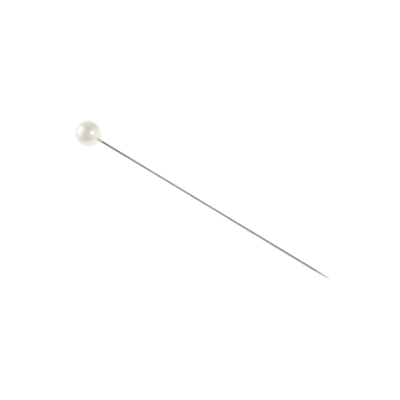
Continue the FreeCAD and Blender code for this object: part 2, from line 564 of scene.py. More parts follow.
def welded(graph: Graph, tube: Value, merge: Value) -> Value:
    """Welds a turned tube's seam and poles, and keeps each point's place.

    Args:
        graph: the graph to add to.
        tube: the turned tube.
        merge: points closer than this are one.

    Returns:
        The closed shape.
    """
    closed = graph.add("GeometryNodeMergeByDistance", {"Geometry": tube, "Distance": merge})
    place = graph.add("GeometryNodeInputPosition")
    inputs = {"Geometry": closed, "Name": PLACE, "Value": place}
    return graph.add("GeometryNodeStoreNamedAttribute", inputs, data_type="FLOAT_VECTOR")


def dressed(graph: Graph, geometry: Value, finish: Value) -> Tree:
    """Ends a tree: makes its geometry real and sets the finish.

    Args:
        graph: the tree's graph.
        geometry: the finished geometry.
        finish: the material.

    Returns:
        The tree.
    """
    real = graph.add("GeometryNodeRealizeInstances", {"Geometry": geometry})
    result = graph.add("GeometryNodeSetMaterial", {"Geometry": real, "Material": finish})
    return graph.give("Geometry", Kind.GEOMETRY, result)


def turned_piece_tree() -> Tree:
    """The tree that turns a half-section about the axis.

    It can ripple the surface between two stations, as poured lacquer or cement does, and
    press a ring of jaw marks into it. Both fade out over the same length.

    Returns:
        The tree.
    """
    ripple = ("Ripple Height", "Ripples To The Millimetre", "Ripple Start", "Ripple Stop")
    marks = ("Jaw Depth", "Jaw Station", "Fade Length", "Merge Distance")
    inputs = {
        Kind.GEOMETRY: ("Outline",),
        Kind.COUNT: ("Sides", "Jaw Marks"),
        Kind.NUMBER: ripple + marks,
        Kind.FINISH: ("Finish",),
    }
    graph = Graph.group("turned piece", Family.GEOMETRY, inputs)
    given = graph.given
    outline = given["Outline"]
    points = graph.add("GeometryNodeAttributeDomainSize", {"Geometry": outline}, "Point Count")
    grid, station, cosine, sine = turned_grid(graph, points, given["Sides"])
    position = graph.add("GeometryNodeInputPosition")
    reading = {"Geometry": outline, "Value": position, "Index": station}
    sample = graph.add("GeometryNodeSampleIndex", reading, data_type="FLOAT_VECTOR")
    x, _, radius = graph.axes(sample)
    tube = graph.moved(grid, Position=graph.joined(x, radius * cosine, radius * sine))
    shape = welded(graph, tube, given["Merge Distance"])

    x, y, z = graph.axes(position)
    start, stop, fade = given["Ripple Start"], given["Ripple Stop"], given["Fade Length"]
    wave = graph.noise(position, given["Ripples To The Millimetre"]) * 2.0 - 1.0
    window = graph.ramp(x, start, start + fade) * graph.ramp(x, stop - fade, stop, 1.0, 0.0)
    normal = graph.add("GeometryNodeInputNormal")
    height = wave * window * given["Ripple Height"]
    rippled = graph.moved(shape, Offset=graph.scaled(normal, height))

    angle = graph.maths("ARCTAN2", z, y) * given["Jaw Marks"]
    lobe = graph.maths("POWER", graph.maths("COSINE", angle) * 0.5 + 0.5, LOBE_POWER)
    away = graph.maths("ABSOLUTE", x - given["Jaw Station"])
    press = lobe * graph.ramp(away, 0.0, fade, 1.0, 0.0) * given["Jaw Depth"]
    outwards = graph.vectors("NORMALIZE", graph.joined(0.0, y, z))
    marked = graph.moved(rippled, Offset=graph.scaled(outwards, press * -1.0))
    return dressed(graph, marked, given["Finish"])


def unit_tube_tree() -> Tree:
    """The tree that makes one span of an open tube of radius 1 along the axis.

    Returns:
        The tree. Its Ease draws the stations together towards Stop.
    """
    inputs = {Kind.NUMBER: ("Start", "Stop", "Ease"), Kind.COUNT: ("Stations", "Sides")}
    graph = Graph.group("unit tube", Family.GEOMETRY, inputs)
    given = graph.given
    start, stop, stations = given["Start"], given["Stop"], given["Stations"]
    grid, station, cosine, sine = turned_grid(graph, stations, given["Sides"])
    share = station / (stations - 1)
    left = graph.maths("POWER", 1.0 - share, given["Ease"])
    place = graph.joined(stop - (stop - start) * left, cosine, sine)
    return graph.give("Tube", Kind.GEOMETRY, graph.moved(grid, Position=place))


def drawn_wire_tree() -> Tree:
    """The tree that makes a pin's shank from its sizes.

    The blunt end is chamfered, rings repeat along its anchored length, a waist takes the
    collar, and the point is an ogive that runs into a round nose.

    Returns:
        The tree.
    """
    places = ("Blunt End", "Neck End", "Shoulder", "Tip", "First Ring", "Waist Station")
    sizes = ("Wire Radius", "Chamfer", "Nose Radius", "Merge Distance", "Point Ease")
    cuts = ("Ring Pitch", "Ring Section", "Ring Bite", "Waist Section")
    counts = ("Sides", "Rings", "Anchor Stations", "Bare Stations", "Point Stations")
    inputs = {Kind.NUMBER: places + sizes + cuts, Kind.COUNT: counts, Kind.FINISH: ("Finish",)}
    graph = Graph.group("drawn wire", Family.GEOMETRY, inputs)
    given = graph.given
    wire, merge = given["Wire Radius"], given["Merge Distance"]
    shoulder, tip = given["Shoulder"], given["Tip"]
    join = graph.add("GeometryNodeJoinGeometry")
    tube = unit_tube_tree()
    for start, stop, stations, ease in (
        (given["Blunt End"], given["Neck End"], given["Anchor Stations"], 1.0),
        (given["Neck End"], shoulder, given["Bare Stations"], 1.0),
        (shoulder, tip, given["Point Stations"], given["Point Ease"]),
    ):
        span = {"Start": start, "Stop": stop, "Stations": stations, "Ease": ease}
        graph.feed(join.socket.node.inputs[0], graph.use(tube, Sides=given["Sides"], **span))
    x, y, z = graph.axes(graph.add("GeometryNodeInputPosition"))

    def bite(away: Value, section: Value) -> Value:
        """The depth that a ring of round section leaves.

        Args:
            away: distance from the ring's middle.
            section: radius of the ring's section.

        Returns:
            The depth there, and 0 away from the ring.
        """
        chord = graph.most(section * section - away * away, 0.0)
        sagitta = section - graph.maths("SQRT", chord)
        return graph.most(given["Ring Bite"] - sagitta, 0.0)

    pitch = given["Ring Pitch"]
    from_first = x - given["First Ring"]
    number = graph.most(graph.maths("ROUND", from_first / pitch), 0.0)
    number = graph.least(number, given["Rings"] - 1)
    rings = bite(from_first - number * pitch, given["Ring Section"])
    waist = bite(x - given["Waist Station"], given["Waist Section"])
    body = wire - (rings + waist)

    from_end = x - given["Blunt End"]
    chamfer = wire - given["Chamfer"] + from_end
    after_end = graph.maths("GREATER_THAN", from_end, merge)

    nose_radius = given["Nose Radius"]
    nose = tip - nose_radius
    run = nose - shoulder
    drop = wire - nose_radius
    flank = (run * run + drop * drop) / (drop * 2.0)
    along = graph.most(x - shoulder, 0.0)
    ogive = graph.maths("SQRT", flank * flank - along * along) - (flank - wire)
    past = graph.most(x - nose, 0.0)
    ball = graph.maths("SQRT", graph.most(nose_radius * nose_radius - past * past, 0.0))
    in_nose = graph.maths("GREATER_THAN", past, 0.0)
    point = ball * in_nose + ogive * (1.0 - in_nose)
    before_tip = graph.maths("LESS_THAN", x, tip - merge)

    radius = graph.least(graph.least(body, chamfer), point) * (after_end * before_tip)
    spun = graph.moved(join, Position=graph.joined(x, y * radius, z * radius))
    return dressed(graph, welded(graph, spun, merge), given["Finish"])


class SharedEffects:
    """Shader groups that more than one finish uses, each made once."""

    def __init__(self) -> None:
        """Makes the groups."""
        self.drawn_lines = self._drawn_lines()
        self.handling_haze = self._handling_haze()
        self.speckle = self._speckle()

    @staticmethod
    def _drawn_lines() -> Tree:
        """Fine lines, as drawing, grinding or wiping leaves.

        Along and Across say how many there are to the unit, along X and across it.

        Returns:
            The group, whose Lines is a mask about one half.
        """
        inputs = {Kind.VECTOR: ("Place",), Kind.NUMBER: ("Along", "Across")}
        graph = Graph.group("drawn lines", Family.SHADER, inputs)
        along, across = graph.given["Along"], graph.given["Across"]
        place = graph.vectors("MULTIPLY", graph.given["Place"], graph.joined(along, across, across))
        return graph.give("Lines", Kind.NUMBER, graph.noise(place, 1.0, detail=3.0))

    @staticmethod
    def _handling_haze() -> Tree:
        """Broad soft patches where fingers have dulled a surface.

        Returns:
            The group, whose Haze goes from 0 to its Amount.
        """
        inputs = {Kind.VECTOR: ("Place",), Kind.NUMBER: ("Patches", "Amount")}
        graph = Graph.group("handling haze", Family.SHADER, inputs)
        patches = graph.noise(graph.given["Place"], graph.given["Patches"], detail=4.0)
        haze = graph.ramp(patches, *PATCH_BAND) * graph.given["Amount"]
        return graph.give("Haze", Kind.NUMBER, haze)

    @staticmethod
    def _speckle() -> Tree:
        """Small round flecks, such as mica in lacquer or bubbles in cement.

        Returns:
            The group, whose Flecks is 1 in the middle of a fleck and 0 away from it.
        """
        inputs = {Kind.VECTOR: ("Place",), Kind.NUMBER: ("Number", "Size")}
        graph = Graph.group("speckle", Family.SHADER, inputs)
        cell = {"Vector": graph.given["Place"], "Scale": graph.given["Number"]}
        away = graph.add("ShaderNodeTexVoronoi", cell, "Distance")
        return graph.give("Flecks", Kind.NUMBER, graph.ramp(away, 0.0, graph.given["Size"], 1.0, 0.0))


class Finish(Graph):
    """A finish in the making: a graph on its material's tree."""

    def __init__(self, name: str) -> None:
        """Starts the material.

        Args:
            name: its name.
        """
        self.made = bpy.data.materials.new(name)
        self.made.use_nodes = True
        super().__init__(self.made.node_tree)

    def turned_place(self) -> Value:
        """Where a point of a turned piece lies, in millimetres about the pin's axis."""
        return self.add("ShaderNodeAttribute", output="Vector", attribute_name=PLACE)

    def relief(self, height: Value, strength: float, depth: float) -> Value:
        """The normal of a surface with fine relief, whose depth is in metres."""
        return self.add("ShaderNodeBump", {"Height": height, "Strength": strength, "Distance": depth})

    def complete(self, inputs: Mapping[str, Feed]) -> Material:
        """Feeds the shader.

        Args:
            inputs: its inputs by name.

        Returns:
            The material.
        """
        shader = self.tree.nodes["Principled BSDF"]
        for label, value in inputs.items():
            self.feed(shader.inputs[label], value)
        return self.made


@dataclass(frozen=True)
class PearlLacquer:
    """Pearl lacquer: ivory with a faint play of green and rose, under a clear coat.

    Attributes:
        ivory: the body colour.
        green: where the platelets lean to green; also painted on the side that faces the top of the
            camera's view, as a painted reflection tint.
        rose: where they lean to rose; also painted on the side that faces the bottom of that view, as a
            painted reflection tint.
        mica: the colour of the larger platelets.
        painted_tint_side: the side that faces the top of the camera's view; it is painted greener and
            the side opposite rosier, a painted tint of the bead's reflections.
        painted_tint_lean: how strongly that painted tint leans, to the millimetre.
        clouds: patches of lean to the millimetre.
        green_band: the cloud levels over which green gives way to ivory.
        rose_band: the levels over which ivory gives way to rose.
        flecks: how many larger platelets to the millimetre.
        fleck_size: how far each reaches, as a share of their spacing.
        glint: how much they show.
        pearl: share of light that the platelets mirror.
        softness: roughness of that mirrored light.
        patches: handled patches to the millimetre.
        dulling: the roughness that those add.
        gloss: roughness of the clear coat.
        coat_index: the clear coat's index of refraction.
        peel: waves of the clear coat to the millimetre.
        relief: their strength, and their depth in metres.
    """

    ivory: Colour = (0.79, 0.765, 0.715)
    green: Colour = (0.775, 0.76, 0.675)
    rose: Colour = (0.815, 0.775, 0.755)
    mica: Colour = (0.9, 0.89, 0.86)
    painted_tint_side: Direction = (-0.47, 0.68, 0.56)
    painted_tint_lean: float = 0.035
    clouds: float = 0.3
    green_band: Pair = (0.3, 0.48)
    rose_band: Pair = (0.52, 0.66)
    flecks: float = 9.0
    fleck_size: float = 0.3
    glint: float = 0.12
    pearl: float = 0.38
    softness: float = 0.22
    patches: float = 0.45
    dulling: float = 0.05
    gloss: float = 0.16
    coat_index: float = 1.6
    peel: float = 2.2
    relief: Pair = (0.25, 2e-6)

    def material(self, effects: SharedEffects) -> Material:
        """Makes the material.

        Args:
            effects: the shared shader groups.

        Returns:
            The material.
        """
        work = Finish("lacquered_pearl")
        place = work.turned_place()
        # The cloud level falls towards the side facing the top of the camera's view, so that side is
        # painted greener and the side opposite rosier: a painted reflection tint laid over the random
        # colour clouds.
        clouds = work.noise(place, self.clouds) - work.dot(place, self.painted_tint_side) * self.painted_tint_lean
        tint = work.blend(work.ramp(clouds, *self.green_band), self.green, self.ivory)
        tint = work.blend(work.ramp(clouds, *self.rose_band), tint, self.rose)
        flecks = work.use(effects.speckle, Place=place, Number=self.flecks, Size=self.fleck_size)
        haze = work.use(effects.handling_haze, Place=place, Patches=self.patches, Amount=self.dulling)
        surface = {
            "Base Color": work.blend(flecks * self.glint, tint, self.mica),
            "Roughness": haze + self.softness,
            "Metallic": self.pearl,
            "Coat Weight": 1.0,
            "Coat Roughness": self.gloss,
            "Coat IOR": self.coat_index,
            "Normal": work.relief(work.noise(place, self.peel, detail=3.0), *self.relief),
        }
        return work.complete(surface)


@dataclass(frozen=True)
class NickelledSteel:
    """Nickel-plated drawn wire, darker near the collar and just before the point, and ground at the
    point.

    Attributes:
        darkening_fade_start: where the darkening near the collar starts to fade, in millimetres.
        darkening_fade_stop: where it has gone.
        shoulder: where the ground point begins.
        nickel: the plate's colour.
        dark_plate: the darker colour that handled patches take, and that the wire takes near the collar
            and before the point.
        ground: bare ground steel of the point.
        groove: the dull bottoms of the draw lines.
        edge_tint: what the wire mirrors at a grazing angle.
        draw_lines: draw lines to the millimetre, along the wire and across it.
        grind_marks: the same for the grinding marks of the point.
        patches: handled patches to the millimetre.
        patch_share: how much those patches tarnish.
        before_point: how far before the shoulder the plate starts to darken again.
        point_darkening: how far it has darkened at the shoulder.
        groove_band: the levels of a line over which its bottom shows.
        groove_share: how much it shows.
        bare_band: where the plate has been ground away, past the shoulder.
        ragged: how far the grinding marks pull that edge about.
        roughness: roughness of the plate.
        line_roughness: how much the draw lines change it.
        worn_roughness: how much tarnish or grinding adds to it.
        grind_depth: how many times deeper than the draw lines the grinding marks are.
        relief: the lines' strength, and their depth in metres.
    """

    darkening_fade_start: float
    darkening_fade_stop: float
    shoulder: float
    nickel: Colour = (0.63, 0.63, 0.63)
    dark_plate: Colour = (0.32, 0.32, 0.31)
    ground: Colour = (0.7, 0.7, 0.69)
    groove: Colour = (0.3, 0.3, 0.29)
    edge_tint: Colour = (0.1, 0.1, 0.1)
    draw_lines: Pair = (0.25, 22.0)
    grind_marks: Pair = (5.0, 14.0)
    patches: float = 0.22
    patch_share: float = 0.35
    before_point: float = 16.0
    point_darkening: float = 0.3
    groove_band: Pair = (0.35, 0.65)
    groove_share: float = 0.45
    bare_band: Pair = (0.3, 1.1)
    ragged: float = 0.3
    roughness: float = 0.28
    line_roughness: float = 0.3
    worn_roughness: float = 0.12
    grind_depth: float = 2.0
    relief: Pair = (0.5, 4e-6)

    def material(self, effects: SharedEffects) -> Material:
        """Makes the material.

        Args:
            effects: the shared shader groups.

        Returns:
            The material.
        """
        work = Finish("nickel_plate")
        place = work.turned_place()
        x = work.axes(place)[0]
        lines, marks = (
            work.use(effects.drawn_lines, Place=place, Along=along, Across=across)
            for along, across in (self.draw_lines, self.grind_marks)
        )
        haze = work.use(effects.handling_haze, Place=place, Patches=self.patches, Amount=1.0)
        # Darker towards the collar, and again towards the point.
        near = work.ramp(x, self.darkening_fade_start, self.darkening_fade_stop, 1.0, 0.0)
        again = self.shoulder - self.before_point
        near = near + work.ramp(x, again, self.shoulder, 0.0, self.point_darkening)
        patches = haze * self.patch_share
        # This mask holds that darkening together with the handled patches.
        worn = work.most(near * (patches + (1.0 - self.patch_share)), patches)
        bottoms = work.ramp(lines, *self.groove_band, 0.0, self.groove_share)
        plate = work.blend(bottoms, work.blend(worn, self.nickel, self.dark_plate), self.groove)
        start, stop = self.bare_band
        bare = work.ramp(marks * self.ragged + x, self.shoulder + start, self.shoulder + stop)
        grinding = marks * bare
        rough = lines * self.line_roughness + (self.roughness - self.line_roughness / 2)
        surface = {
            "Base Color": work.blend(bare, plate, self.ground),
            "Roughness": rough + (worn + grinding) * self.worn_roughness,
            "Metallic": 1.0,
            "Specular Tint": (*self.edge_tint, 1.0),
            "Normal": work.relief(grinding * self.grind_depth + lines, *self.relief),
        }
        return work.complete(surface)


@dataclass(frozen=True)
class CollarMetal:
    """Nickel-washed brass: warm grey, dull in the swaged ring and bright on the rim.

    Attributes:
        swage: the swaged ring's place along the axis, in millimetres.
        neck: the neck's end.
        wash: the plated colour.
        brass: the warmer metal that shows on worn edges.
        soot: the dark film left in the swaged ring and at the neck.
        wipe_lines: wiping lines to the millimetre, along the collar and across it.
        patches: handled patches to the millimetre.
        patch_soot: how sooty those patches are.
        rim_band: the radii over which wear sets in towards the rim.
        wear: how worn the rim is between the wiping lines, and how much more along them.
        ring_band: how far from the swaged ring's middle the soot fades.
        ring_soot: how sooty the ring is.
        neck_length: the length over which soot sets in towards the neck's end.
        neck_soot: how sooty that end is.
        metallic: share of light that the metal mirrors under its film.
        roughness: roughness of the metal.
        dulling: the roughness that lines or soot add.
        relief: the lines' strength, and their depth in metres.
    """

    swage: float
    neck: float
    wash: Colour = (0.84, 0.82, 0.77)
    brass: Colour = (0.95, 0.93, 0.87)
    soot: Colour = (0.2, 0.19, 0.17)
    wipe_lines: Pair = (30.0, 3.0)
    patches: float = 1.3
    patch_soot: float = 0.12
    rim_band: Pair = (0.42, 0.56)
    wear: Pair = (0.5, 0.6)
    ring_band: Pair = (0.03, 0.14)
    ring_soot: float = 0.5
    neck_length: float = 0.9
    neck_soot: float = 0.55
    metallic: float = 0.92
    roughness: float = 0.34
    dulling: float = 0.15
    relief: Pair = (0.35, 3e-6)

    def material(self, effects: SharedEffects) -> Material:
        """Makes the material.

        Args:
            effects: the shared shader groups.

        Returns:
            The material.
        """
        work = Finish("swaged_nickel_brass")
        place = work.turned_place()
        x, y, z = work.axes(place)
        along, across = self.wipe_lines
        lines = work.use(effects.drawn_lines, Place=place, Along=along, Across=across)
        haze = work.use(effects.handling_haze, Place=place, Patches=self.patches, Amount=1.0)
        radius = work.maths("SQRT", y * y + z * z)
        least, more = self.wear
        worn = work.ramp(radius, *self.rim_band) * (lines * more + least)
        away = work.maths("ABSOLUTE", x - self.swage)
        ring = work.ramp(away, *self.ring_band, self.ring_soot, 0.0)
        end = work.ramp(x, self.neck - self.neck_length, self.neck, 0.0, self.neck_soot)
        grime = work.most(work.most(ring, end), haze * self.patch_soot)
        surface = {
            "Base Color": work.blend(grime, work.blend(worn, self.wash, self.brass), self.soot),
            "Roughness": (lines + grime) * self.dulling + self.roughness,
            "Metallic": self.metallic,
            "Normal": work.relief(lines, *self.relief),
        }
        return work.complete(surface)


@dataclass(frozen=True)
class CuredCement:
    """Cured jeweller's cement: cream, slightly glossy, with small bubbles.

    Attributes:
        cream: the body colour.
        amber: the deeper colour of thick or aged places.
        bubble: the pale colour of a bubble.
        clouds: aged places to the millimetre.
        aged_band: the levels of those over which amber sets in.
        bubbles: how many bubbles to the millimetre.
        bubble_size: how far each reaches, as a share of their spacing.
        bubble_share: how much they show.
        roughness: roughness of the cream.
        aged_roughness: what the aged places add to it.
        gloss: weight of the smooth skin on it.
        relief: the bubbles' strength, and their depth in metres.
    """

    cream: Colour = (0.84, 0.81, 0.71)
    amber: Colour = (0.7, 0.62, 0.44)
    bubble: Colour = (0.93, 0.92, 0.88)
    clouds: float = 2.5
    aged_band: Pair = (0.4, 0.75)
    bubbles: float = 12.0
    bubble_size: float = 0.35
    bubble_share: float = 0.5
    roughness: float = 0.28
    aged_roughness: float = 0.15
    gloss: float = 0.4
    relief: Pair = (0.3, 5e-6)

    def material(self, effects: SharedEffects) -> Material:
        """Makes the material.

        Args:
            effects: the shared shader groups.

        Returns:
            The material.
        """
        work = Finish("cured_cement")
        place = work.turned_place()
        aged = work.ramp(work.noise(place, self.clouds, detail=3.0), *self.aged_band)
        bubbles = work.use(effects.speckle, Place=place, Number=self.bubbles, Size=self.bubble_size)
        body = work.blend(aged, self.cream, self.amber)
        surface = {
            "Base Color": work.blend(bubbles * self.bubble_share, body, self.bubble),
            "Roughness": aged * self.aged_roughness + self.roughness,
            "Coat Weight": self.gloss,
            "Normal": work.relief(aged - bubbles, *self.relief),
        }
        return work.complete(surface)


@dataclass(frozen=True)
class MouldedPlastic:
    """The bead's moulded core: off-white plastic with flow marks drawn out along X.

    Attributes:
        centre: the bead's centre in the row's frame, in metres.
        pale: the body colour.
        flow: the colour of the flow marks.
        swirls: flow marks to the millimetre along X, Y and Z.
        flow_band: the levels over which they set in.
        patches: handled patches to the millimetre.
        dulling: the roughness that those add.
        roughness: roughness of the plastic.
        relief: the flow marks' strength, and their depth in metres.
    """

    centre: Vector
    pale: Colour = (0.84, 0.82, 0.76)
    flow: Colour = (0.78, 0.75, 0.68)
    swirls: Direction = (0.2, 0.6, 0.6)
    flow_band: Pair = (0.42, 0.6)
    patches: float = 0.4
    dulling: float = 0.15
    roughness: float = 0.5
    relief: Pair = (0.2, 4e-6)

    def material(self, effects: SharedEffects) -> Material:
        """Makes the material.

        Args:
            effects: the shared shader groups.

        Returns:
            The material.
        """
        work = Finish("moulded_plastic")
        own = work.add("ShaderNodeTexCoord", output="Object")
        to_mm = 1 / MM
        centred = {"Vector": own, "Location": tuple(-self.centre * to_mm), "Scale": (to_mm,) * 3}
        place = work.add("ShaderNodeMapping", centred)
        swirl = work.noise(work.vectors("MULTIPLY", place, self.swirls), 1.0, detail=4.0)
        haze = work.use(effects.handling_haze, Place=place, Patches=self.patches, Amount=self.dulling)
        surface = {
            "Base Color": work.blend(work.ramp(swirl, *self.flow_band), self.pale, self.flow),
            "Roughness": haze + self.roughness,
            "Normal": work.relief(swirl, *self.relief),
        }
        return work.complete(surface)


@dataclass(frozen=True)
class PaperFloor:
    """The pale sheet that the pin lies on, with light coming up through it.

    Attributes:
        white: the sheet's colour.
        fibre: the colour of its faint fibres.
        fibres: how many fibres to the metre along X, Y and Z.
        fibre_band: the levels over which they show.
        glow: the light that comes up through it.
        near_glow: the share of that light that the pin gets from the sheet under it.
        far_glow: the share that it gets from far in front.
        beside: how far past the bead's end the sheet fades to full light, in metres.
        near: how far in front of the pin the share starts to fall, in metres.
        far: how far in front it has fallen.
        roughness: roughness of the sheet.
        sheen: how much it mirrors.
    """

    white: Colour = (0.21, 0.21, 0.21)
    fibre: Colour = (0.2, 0.2, 0.2)
    fibres: Direction = (900.0, 2600.0, 900.0)
    fibre_band: Pair = (0.4, 0.7)
    glow: float = 0.82
    near_glow: float = 1.06
    far_glow: float = 0.35
    beside: float = 0.02
    near: float = 0.004
    far: float = 0.03
    roughness: float = 0.9
    sheen: float = 0.1

    def material(self) -> Material:
        """Makes the material.

        Returns:
            The material.
        """
        work = Finish("paper")
        own = work.add("ShaderNodeTexCoord", output="Object")
        x, y, _ = work.axes(own)
        fibres = work.noise(work.vectors("MULTIPLY", own, self.fibres), 1.0, detail=3.0)
        in_front = work.ramp(y * -1.0, self.near, self.far, self.near_glow, self.far_glow)
        left = CAD_BOX[0].x
        light = work.most(in_front, work.ramp(x, left - self.beside, left, 1.0, 0.0))
        seen = work.add("ShaderNodeLightPath", output="Is Camera Ray")
        surface = {
            "Base Color": work.blend(work.ramp(fibres, *self.fibre_band), self.white, self.fibre),
            "Emission Color": work.blend(seen, work.joined(light, light, light), (1.0, 1.0, 1.0)),
            "Emission Strength": self.glow,
            "Roughness": self.roughness,
            "Specular IOR Level": self.sheen,
        }
        return work.complete(surface)


@dataclass
class SubAssembly:
    """Pieces that are turned about the pin's axis.

    Attributes:
        line: the pin's axis.
    """

    line: PinLine

    def turned(
        self,
        name: str,
        node: CadNode,
        tree: Tree,
        values: Mapping[str, object],
        start: Mesh,
        crease: float,
    ) -> Piece:
        """Grows a piece, lays it in the row's frame and lets it ride with the pin.

        Args:
            name: the piece's name.
            node: the CAD node that it stands for.
            tree: the Geometry Nodes tree that makes it.
            values: the tree's inputs by name.
            start: the mesh that the tree is given.
            crease: edges that turn by more than this many degrees stay sharp.

        Returns:
            The piece.
        """
        mesh = grow(name, tree, values, start)
        finish_mesh(mesh, self.line.to_row(), crease)
        return place_piece(name, mesh, node)


@dataclass
class Bead(SubAssembly):
    """The pearl bead: a lacquer skin over a moulded core.

    Attributes:
        coat: the skin's thickness, in millimetres like every size here.
        mouth_flat: radius of the flat round the bore's mouth.
        bore: the bore's radius.
        lip: rounding of the mouth's edges.
        ripple: swing of the lacquer's slow unevenness.
        ripples: how many of those to the millimetre.
        before_pole: how far before the outer pole the ripple has begun.
        fade: the length over which it fades out.
        merge: points closer than this are one.
        crease: edges sharper than this many degrees stay sharp.
        sides: faces in one turn.
        stations: steps from pole to mouth.
        inner_stations: the same for the hidden inside.
    """

    coat: float = 0.1
    mouth_flat: float = 0.7
    bore: float = 0.45
    lip: float = 0.05
    ripple: float = 0.003
    ripples: float = 0.7
    before_pole: float = 1.0
    fade: float = 0.3
    merge: float = 0.0005
    crease: float = 50.0
    sides: int = 240
    stations: int = 150
    inner_stations: int = 60

    @property
    def mouth(self) -> float:
        """Where the mouth's flat lies along the axis."""
        return math.sqrt(self.line.bead_radius**2 - self.mouth_flat**2)

    def outline(self) -> Outline:
        """Draws the skin's half-section.

        Returns:
            The outline, from the outer pole round the mouth to the inner pole.
        """
        outer, inner = self.line.bead_radius, self.line.bead_radius - self.coat
        inner_mouth = self.mouth - self.coat
        inner_flat = math.sqrt(inner**2 - inner_mouth**2)
        edge = math.atan2(self.mouth_flat, self.mouth)
        outline = Outline(-outer, 0.0)
        outline.arc(outer, math.pi, edge + self.lip / outer, self.stations)
        outline.corner(self.mouth, self.mouth_flat, (self.mouth, self.bore), self.lip)
        outline.corner(self.mouth, self.bore, (inner_mouth, self.bore), self.lip)
        outline.line(inner_mouth, self.bore)
        return outline.arc(inner, math.atan2(inner_flat, inner_mouth), math.pi, self.inner_stations)

    def skin(self, tree: Tree, finish: Material) -> Piece:
        """Builds the lacquer skin.

        Args:
            tree: the turned piece tree.
            finish: the skin's material.

        Returns:
            The piece.
        """
        values = {
            "Sides": self.sides,
            "Merge Distance": self.merge,
            "Ripple Height": self.ripple,
            "Ripples To The Millimetre": self.ripples,
            "Ripple Start": -self.line.bead_radius - self.before_pole,
            "Ripple Stop": self.mouth - self.lip,
            "Fade Length": self.fade,
            "Finish": finish,
        }
        start = self.outline().mesh("pearl_outline")
        return self.turned("pearl_skin", CadNode.PEARL_COAT, tree, values, start, self.crease)

    def dress_core(self, finish: Material) -> Piece:
        """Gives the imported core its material.

        Args:
            finish: the core's material.

        Returns:
            The CAD node's object.
        """
        core = frame["nodes"][CadNode.BEAD_CORE.value]
        for slot in core.material_slots:
            slot.material = finish
        return core


